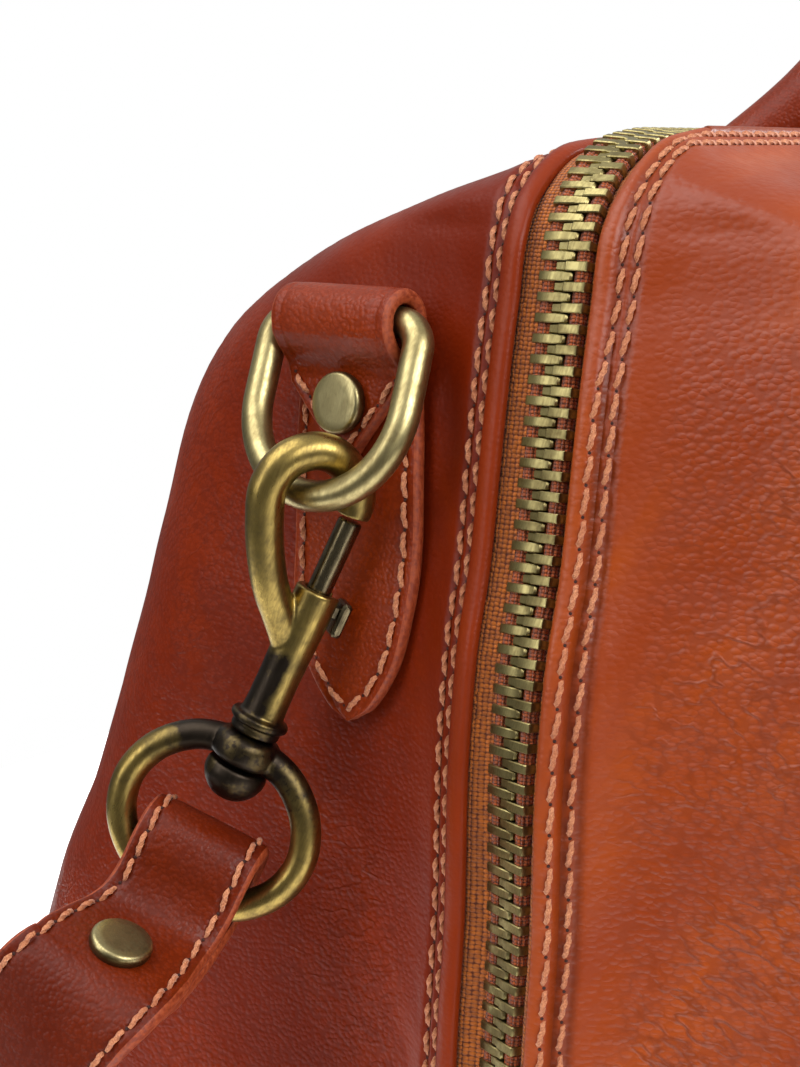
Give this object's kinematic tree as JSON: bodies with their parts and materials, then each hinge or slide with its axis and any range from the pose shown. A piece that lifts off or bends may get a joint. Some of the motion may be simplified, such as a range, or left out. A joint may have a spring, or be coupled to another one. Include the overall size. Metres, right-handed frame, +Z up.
{
  "type": "travel bag",
  "caption": "Soft leather travel bag with a metal zip over the top and down the ends, rolled handles and a shoulder strap on snap hooks and D-rings",
  "frame": {"origin": "middle of the underside of the flat base, on the floor that the bag stands on", "axes": "+X along the bag towards its right end, -Y towards its front side, +Z up; the end that shows in the picture is the -X end"},
  "size_m": [0.5998, 0.3528, 0.3427],
  "materials": {
    "shell_leather": "waxed red-brown leather with a fine grain and a soft gloss",
    "trim_leather": "waxed darker brown leather, stitched along its edges",
    "tape_cloth": "woven brown zip tape",
    "antique_brass": "brushed antique brass with darker hollows",
    "rivet_brass": "pale brushed brass",
    "bolt_metal": "dark worn metal"
  },
  "bodies": {
    "bag": {"back_shell": "shell_leather", "front_shell": "shell_leather", "base": "trim_leather", "tab_left": "trim_leather", "tab_right": "trim_leather", "strap": "trim_leather", "handle_back": "trim_leather", "handle_front": "trim_leather", "zip_tape_back": "tape_cloth", "zip_tape_front": "tape_cloth", "zip_teeth": "antique_brass", "zip_slider": "antique_brass", "d_ring_left": "antique_brass", "d_ring_right": "antique_brass", "hook_left": "antique_brass", "hook_right": "antique_brass", "swivel_eye_left": "antique_brass", "swivel_eye_right": "antique_brass", "tab_rivet_left": "rivet_brass", "tab_rivet_right": "rivet_brass", "strap_rivet_left": "rivet_brass", "strap_rivet_right": "rivet_brass"},
    "bolt": {"hook_left_bolt": "bolt_metal"}
  },
  "joints": [
    {"name": "bolt_slide", "type": "slide", "parent": "bag", "child": "bolt", "axis": [-0.2591, 0.3261, -0.9092], "range_m": [0, 0.008], "stiffness_N_per_m": 300, "springref_m": -0.002}
  ]
}
